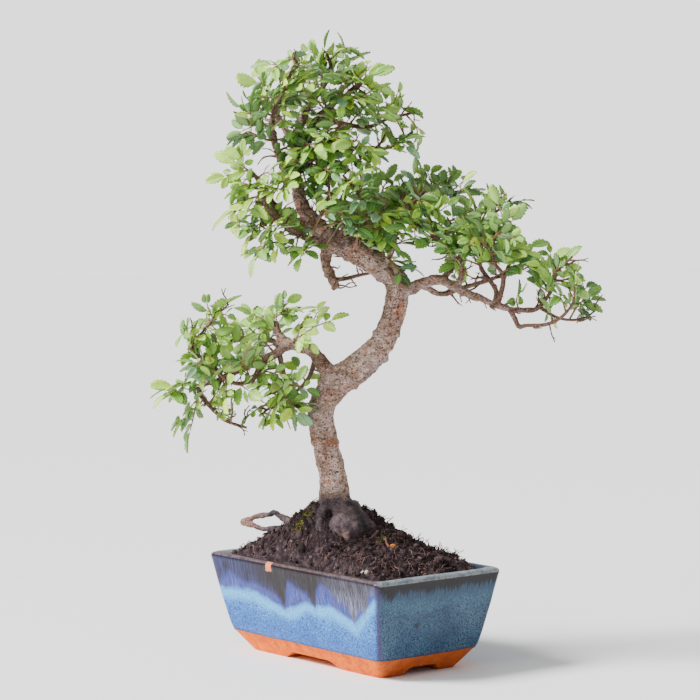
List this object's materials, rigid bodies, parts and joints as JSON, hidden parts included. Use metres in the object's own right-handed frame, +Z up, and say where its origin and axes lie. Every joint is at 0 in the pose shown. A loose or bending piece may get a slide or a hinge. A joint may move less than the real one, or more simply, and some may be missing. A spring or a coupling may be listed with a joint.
{
  "type": "chinese elm bonsai",
  "caption": "Chinese elm bonsai with an S-curved trunk and leafy pads, growing in a rectangular glazed ceramic pot.",
  "frame": {"origin": "on the surface the feet stand on, under the middle of the bounding box of pot and crown together", "axes": "+Z up along the tree's height, +X along the pot's long side, -Y out of the pot's front"},
  "size_m": [0.2932, 0.3194, 0.5172],
  "materials": {
    "pot": "glossy blue glaze with dark drips below the rim, bare orange clay on the feet",
    "drain_screen": "matt black plastic mesh",
    "soil": "moist dark fibrous peat",
    "bark": "rough grey-brown bark",
    "foliage": "satin green leaves"
  },
  "bodies": {
    "root": {"pot": "pot", "drain_screen_left": "drain_screen", "drain_screen_right": "drain_screen", "soil": "soil", "wood": "bark", "spray_apex_top_1": "foliage", "spray_apex_top_2": "foliage", "spray_apex_top_3": "foliage", "spray_apex_right_1": "foliage", "spray_apex_right_2": "foliage", "spray_apex_right_3": "foliage", "spray_apex_left_1": "foliage", "spray_apex_left_2": "foliage", "spray_apex_left_3": "foliage", "spray_apex_left_4": "foliage", "spray_apex_back_1": "foliage", "spray_apex_back_2": "foliage", "spray_crown_left_1": "foliage", "spray_crown_left_2": "foliage", "spray_crown_left_3": "foliage", "spray_low_left_1": "foliage", "spray_low_left_2": "foliage", "spray_low_left_3": "foliage", "spray_low_left_4": "foliage", "spray_spur_1": "foliage", "spray_spur_low_1": "foliage", "spray_spur_low_2": "foliage", "spray_trunk_1": "foliage", "spray_crown_back_1": "foliage", "spray_crown_back_2": "foliage", "spray_crown_back_right_1": "foliage", "spray_crown_back_right_2": "foliage", "spray_right_back_1": "foliage", "spray_right_back_2": "foliage", "spray_right_up_far_1": "foliage", "spray_right_up_far_2": "foliage", "spray_right_up_near_1": "foliage", "spray_right_up_near_2": "foliage", "spray_right_up_end_1": "foliage", "spray_right_1": "foliage", "spray_right_low_1": "foliage", "spray_right_tip_1": "foliage", "spray_right_back_low_1": "foliage", "spray_right_mid_1": "foliage", "spray_right_mid_2": "foliage", "spray_right_mid_3": "foliage", "spray_left_stub_1": "foliage", "spray_left_stub_2": "foliage", "spray_left_1": "foliage", "spray_left_2": "foliage", "spray_left_3": "foliage", "spray_left_up_1": "foliage", "spray_left_up_2": "foliage", "spray_left_front_1": "foliage", "spray_left_front_2": "foliage", "spray_left_back_1": "foliage", "spray_left_back_2": "foliage", "spray_left_under_1": "foliage", "spray_left_under_2": "foliage", "spray_left_under_back_1": "foliage"}
  },
  "joints": []
}
